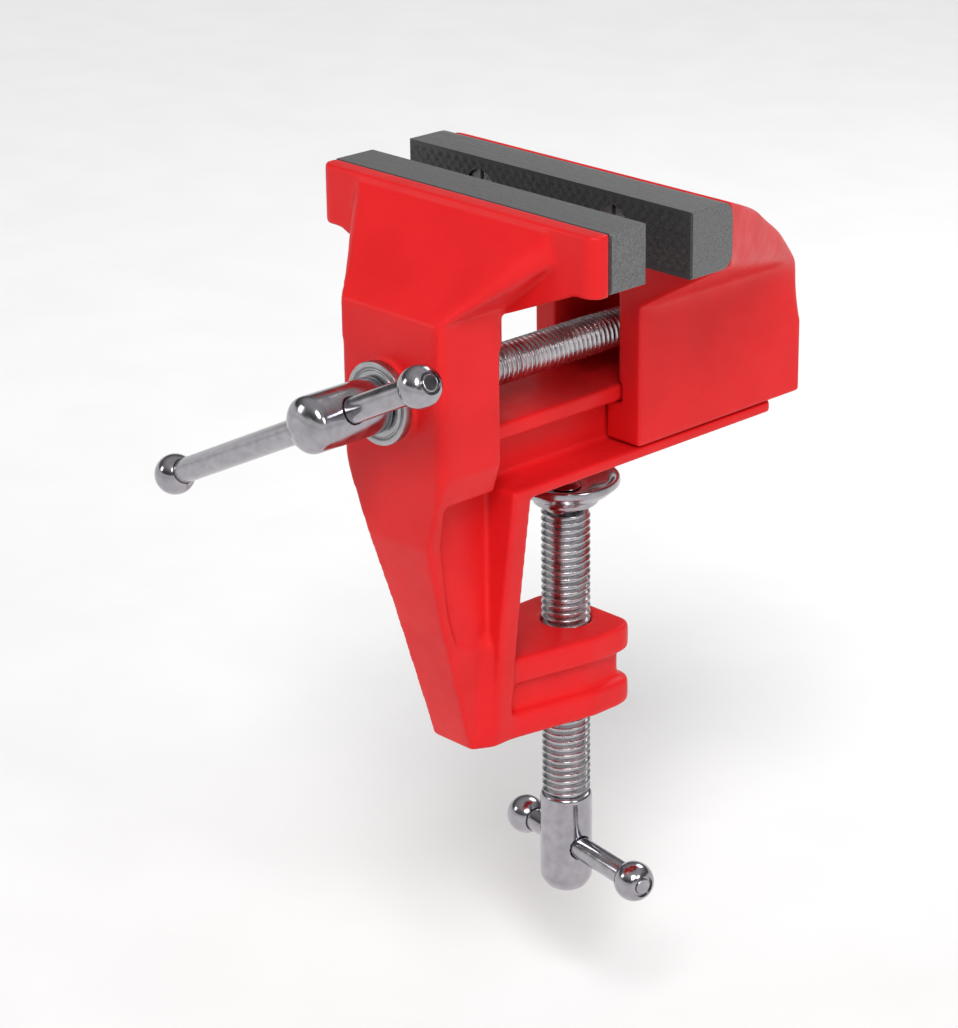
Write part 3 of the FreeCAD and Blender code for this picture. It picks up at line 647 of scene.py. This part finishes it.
def main_screw():
    """Threaded spindle and its cross-drilled head."""
    centre = (0, 0, MAIN_HEIGHT)
    thread = threaded_rod(
        "main_screw_thread", centre, AXIS_Y, MAIN_SHOULDER - 1, MAIN_REAR, MAIN_RADIUS, MAIN_PITCH
    )
    crisp(thread, 50)
    settle(thread, "main_screw", "bright_plate", THREAD_Y, "main_screw")
    profile = [
        (MAIN_NOSE, 0.0),
        (MAIN_NOSE, 2.4),
        (MAIN_NOSE + 1.0, 4.5),
        (MAIN_NOSE + 2.2, MAIN_HEAD_RADIUS),
        (MAIN_SHOULDER, MAIN_HEAD_RADIUS),
        (MAIN_SHOULDER, 0.0),
    ]
    head = lathe("main_screw_head", rounded(profile, 0.9), centre, AXIS_Y, steps=96)
    across_head = Vector((math.cos(HANDLE_TILT), 0, math.sin(HANDLE_TILT)))
    hole = (0, MAIN_HOLE_Y, MAIN_HEIGHT)
    drilled(head, hole, across_head, HANDLE_RADIUS + HOLE_CLEARANCE, HEAD_DRILL)
    soften(head, HEAD_VOXEL, HEAD_PASSES)
    settle(head, "main_screw", "bright_plate", PLATE_Y)


def thrust_washer():
    """Plated washer with a shallow groove that makes it look like two rings."""
    outer = 8.1
    inner = MAIN_RADIUS + BORE_CLEARANCE
    near = -50.0
    far = -48.1
    groove_start = 6.3
    groove_end = 7.0
    groove_slant = 0.2
    groove_floor = near + 0.35
    profile = [
        (near, inner),
        (near, groove_start),
        (groove_floor, groove_start + groove_slant),
        (groove_floor, groove_end - groove_slant),
        (near, groove_end),
        (near, outer),
        (far, outer),
        (far, inner),
    ]
    obj = lathe("thrust_washer_turned", rounded(profile, 0.25, 3, True),
                (0, 0, MAIN_HEIGHT), AXIS_Y, True, 96)
    crisp(obj, 50)
    settle(obj, "frame", "bright_plate", ZINC, "thrust_washer")


# ---------------------------------------------------------------- clamp screw

def clamp_screw():
    """Threaded clamp screw, its cross-drilled head and the peened stud on top."""
    centre = (0, 0, 0)
    thread = threaded_rod(
        "clamp_screw_thread", centre, AXIS_Z, CLAMP_SHOULDER - 1, CLAMP_TOP,
        CLAMP_RADIUS, CLAMP_PITCH,
    )
    crisp(thread, 50)
    settle(thread, "clamp_screw", "bright_plate", THREAD_Z, "clamp_screw")
    profile = [
        (CLAMP_FOOT, 0.0),
        (CLAMP_FOOT, 2.0),
        (CLAMP_FOOT + 1.0, 4.2),
        (CLAMP_FOOT + 3.0, CLAMP_HEAD_RADIUS),
        (CLAMP_SHOULDER - 0.6, CLAMP_HEAD_RADIUS),
        (CLAMP_SHOULDER, CLAMP_RADIUS - 0.2),
        (CLAMP_SHOULDER, 0.0),
    ]
    head = lathe("clamp_screw_head", rounded(profile, 0.8), centre, AXIS_Z, steps=96)
    along = Vector((math.cos(CLAMP_TURN), math.sin(CLAMP_TURN), 0))
    hole = (0, 0, CLAMP_HOLE_Z)
    drilled(head, hole, along, CLAMP_ROD_RADIUS + HOLE_CLEARANCE, HEAD_DRILL)
    soften(head, HEAD_VOXEL, HEAD_PASSES)
    settle(head, "clamp_screw", "bright_plate", PLATE_Z)
    rivet_top = PAD_FLOOR + 1.0
    stud_profile = [
        (CLAMP_TOP - 2, 0.0),
        (CLAMP_TOP - 2, 3.0),
        (CLAMP_TOP, 4.0),
        (PAD_UNDER - 0.1, 4.0),
        (PAD_UNDER - 0.1, 2.3),
        (PAD_FLOOR + 0.1, 2.3),
        (PAD_FLOOR + 0.1, 3.4),
        (rivet_top, 2.2),
        (rivet_top, 0.0),
    ]
    stud = lathe("clamp_screw_stud", rounded(stud_profile, 0.4), centre, AXIS_Z)
    crisp(stud, 50)
    settle(stud, "clamp_screw", "bright_plate", PLATE_Z)


def clamp_pad():
    """Pressed dish that swivels on the stud."""
    hole = 2.4
    profile = [
        (PAD_FLOOR, hole),
        (PAD_FLOOR, 4.9),
        (PAD_FLOOR + 1.1, 8.8),
        (PAD_TOP, PAD_RADIUS - 0.9),
        (PAD_TOP, PAD_RADIUS - 0.2),
        (PAD_TOP - 0.7, PAD_RADIUS),
        (PAD_TOP - 1.4, PAD_RADIUS),
        (PAD_UNDER + 1.0, 9.0),
        (PAD_UNDER, 7.0),
        (PAD_UNDER - 1.4, 6.6),
        (PAD_UNDER - 1.4, 5.4),
        (PAD_UNDER, 5.4),
        (PAD_UNDER, hole),
    ]
    obj = lathe("clamp_pad_pressed", rounded(profile, 0.6, 4, True), (0, 0, 0), AXIS_Z, True, 96)
    crisp(obj, 60)
    settle(obj, "clamp_pad", "bright_plate", PLATE_Z, "clamp_pad")


# ---------------------------------------------------------------- handles

def ball_profile(side):
    """A ball knob with a flat outer end, along its own axis."""
    face = KNOB_RADIUS - 1.0
    collar_radius = 2.5
    first_angle = 141.0
    sweep = 95.5
    profile = [(-side * face, NECK_RADIUS), (-side * face, collar_radius)]
    steps = 22
    for step in range(steps + 1):
        turn = math.radians(first_angle - sweep * step / steps)
        profile.append((side * KNOB_RADIUS * math.cos(turn), KNOB_RADIUS * math.sin(turn)))
    profile.append((side * KNOB_CAP, 2.25))
    profile.append((side * (KNOB_CAP - 0.5), 2.1))
    profile.append((side * (KNOB_CAP - 0.5), NECK_RADIUS))
    return profile


def handle(prefix, body, centre, axis, span, radius, material):
    """A rod with reduced ends peened over inside two ball knobs."""
    half = span / 2
    neck = half - KNOB_RADIUS + 1.0
    end = half + KNOB_CAP
    outline = [
        (-end, 0.0),
        (-end, NECK_RADIUS),
        (-neck, NECK_RADIUS),
        (-neck, radius),
        (neck, radius),
        (neck, NECK_RADIUS),
        (end, NECK_RADIUS),
        (end, 0.0),
    ]
    rod = lathe(prefix + "_rod_turned", rounded(outline, 0.35), centre, axis)
    crisp(rod, 50)
    settle(rod, body, "bright_plate", material, prefix + "_rod")
    for side, word in ((-1, "left"), (1, "right")):
        node = "{}_knob_{}".format(prefix, word)
        middle = Vector(centre) + axis * (side * half)
        knob = lathe(node + "_turned", ball_profile(side), middle, axis, True)
        crisp(knob, 50)
        settle(knob, body, "bright_plate", material, node)


def handles():
    """The main tommy bar and the clamp tommy bar."""
    main_axis = Vector((math.cos(HANDLE_TILT), 0, math.sin(HANDLE_TILT)))
    main_centre = Vector((0, MAIN_HOLE_Y, MAIN_HEIGHT)) + main_axis * HANDLE_SHIFT
    handle("main_handle", "main_handle", main_centre, main_axis,
           HANDLE_SPAN, HANDLE_RADIUS, PLATE_X)
    clamp_axis = Vector((math.cos(CLAMP_TURN), math.sin(CLAMP_TURN), 0))
    clamp_centre = Vector((0, 0, CLAMP_HOLE_Z)) + clamp_axis * CLAMP_SHIFT
    handle("clamp_handle", "clamp_handle", clamp_centre, clamp_axis,
           CLAMP_SPAN, CLAMP_ROD_RADIUS, PLATE_X)


# ---------------------------------------------------------------- surroundings

FLOOR_HEIGHT = -126.0
AIM = Vector((0.0, -15.0, 12.5))


def floor():
    """A wide pale floor, low enough for the clamp screw to be wound right down."""
    reach = 15000.0
    corners = [(-reach, -reach, FLOOR_HEIGHT), (reach, -reach, FLOOR_HEIGHT),
               (reach, reach, FLOOR_HEIGHT), (-reach, reach, FLOOR_HEIGHT)]
    mesh = bpy.data.meshes.new("floor")
    mesh.from_pydata([Vector(corner) * MM for corner in corners], [], [(0, 1, 2, 3)])
    obj = make_object("floor", mesh)
    obj.data.materials.append(floor_material())


def sun():
    """A broad distant light, even over the vise and the whole floor."""
    light = bpy.data.lights.new("sun", "SUN")
    light.angle = math.radians(24)
    light.energy = 2.2
    point_light(light, (470, -500, 700))


def lamp(name, place, size, power):
    """A soft square lamp aimed at the vise."""
    light = bpy.data.lights.new(name, "AREA")
    light.shape = "SQUARE"
    light.size = size * MM
    light.energy = power
    point_light(light, place)


def point_light(light, place):
    """Put a light at a place and aim it at the vise."""
    obj = bpy.data.objects.new(light.name, light)
    bpy.context.scene.collection.objects.link(obj)
    obj.location = Vector(place) * MM
    obj.rotation_mode = "QUATERNION"
    obj.rotation_quaternion = (AIM - Vector(place)).to_track_quat("-Z", "Y")


def world():
    """A pale horizon, a dark band above it for the plating to mirror, and a bright top."""
    sky = bpy.data.worlds.new("studio")
    sky.use_nodes = True
    tree = sky.node_tree
    background = tree.nodes["Background"]
    place = tree.nodes.new("ShaderNodeTexCoord")
    split = tree.nodes.new("ShaderNodeSeparateXYZ")
    ramp = tree.nodes.new("ShaderNodeValToRGB")
    stops = ramp.color_ramp.elements
    stops[0].color = (1, 1, 1, 1)
    stops[1].position = 0.85
    stops[1].color = (0.62, 0.62, 0.62, 1)
    for height, shade in ((0.15, 1.0), (0.25, 0.06), (0.5, 0.2)):
        stop = stops.new(height)
        stop.color = (shade, shade, shade, 1)
    tree.links.new(place.outputs["Generated"], split.inputs["Vector"])
    tree.links.new(split.outputs["Z"], ramp.inputs["Fac"])
    tree.links.new(ramp.outputs["Color"], background.inputs["Color"])
    background.inputs["Strength"].default_value = 0.9
    bpy.context.scene.world = sky


def camera():
    """The camera in front, to the right and a little above."""
    azimuth = math.radians(46.03)
    elevation = math.radians(19.77)
    roll = math.radians(-0.5)
    distance = 600.1
    back = Vector((
        math.sin(azimuth) * math.cos(elevation),
        -math.cos(azimuth) * math.cos(elevation),
        math.sin(elevation),
    ))
    data = bpy.data.cameras.new("camera")
    data.lens = 108.0
    data.sensor_width = 36.0
    data.shift_x = -0.031
    data.shift_y = -0.102
    data.clip_start = 0.01
    data.clip_end = 60.0
    obj = bpy.data.objects.new("camera", data)
    bpy.context.scene.collection.objects.link(obj)
    obj.location = (AIM + back * distance) * MM
    obj.rotation_mode = "QUATERNION"
    level = (-back).to_track_quat("-Z", "Y")
    obj.rotation_quaternion = level @ Quaternion((0, 0, 1), roll)
    bpy.context.scene.camera = obj


fixed_casting()
sliding_casting()
jaw_plates()
main_screw()
thrust_washer()
clamp_screw()
clamp_pad()
handles()
paint_node("retaining_collar", ZINC)
paint_node("collar_pin", ZINC)
floor()
world()
sun()
lamp("right_fill", (700, -50, 350), 220, 1.1)
lamp("left_fill", (-500, -550, 300), 200, 0.6)
lamp("back", (-150, 600, 500), 300, 1.5)
camera()
bpy.context.scene.view_settings.view_transform = "Standard"
